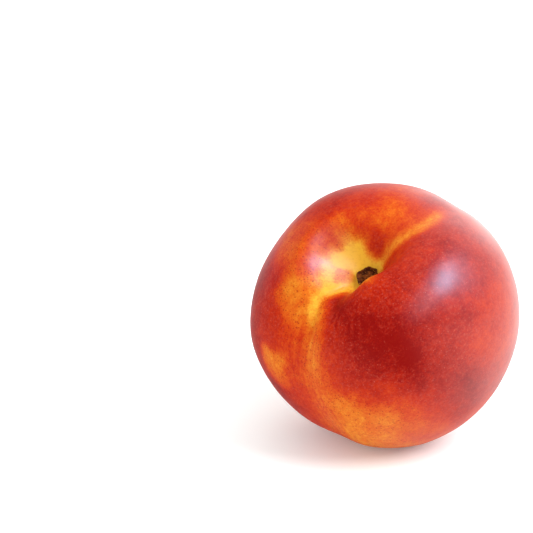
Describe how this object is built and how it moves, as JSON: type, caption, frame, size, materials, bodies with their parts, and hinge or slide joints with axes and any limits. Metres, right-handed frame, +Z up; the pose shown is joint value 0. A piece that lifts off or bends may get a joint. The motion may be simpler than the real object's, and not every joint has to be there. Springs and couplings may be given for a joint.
{
  "type": "nectarine",
  "caption": "Ripe whole nectarine with a suture, an off-centre stem cavity and a dry stem remnant, lying on a small flat spot with its stem end up and forward.",
  "frame": {"origin": "middle of the small flat spot that the fruit rests on, at the table's surface", "axes": "+Z up from the table; the stem axis leans from upright by 45.5 degrees towards -Y, turned 16 degrees to -X; -Y is the side the stem cavity faces"},
  "size_m": [0.0703, 0.07, 0.0675],
  "materials": {
    "skin": "smooth waxy fruit skin, crimson to orange-red with yellow at the stem cavity, small pale and dark specks",
    "dry_stem": "dry dark brown broken wood, matt"
  },
  "bodies": {
    "root": {"fruit": "skin", "stem_stub": "dry_stem"}
  },
  "joints": []
}
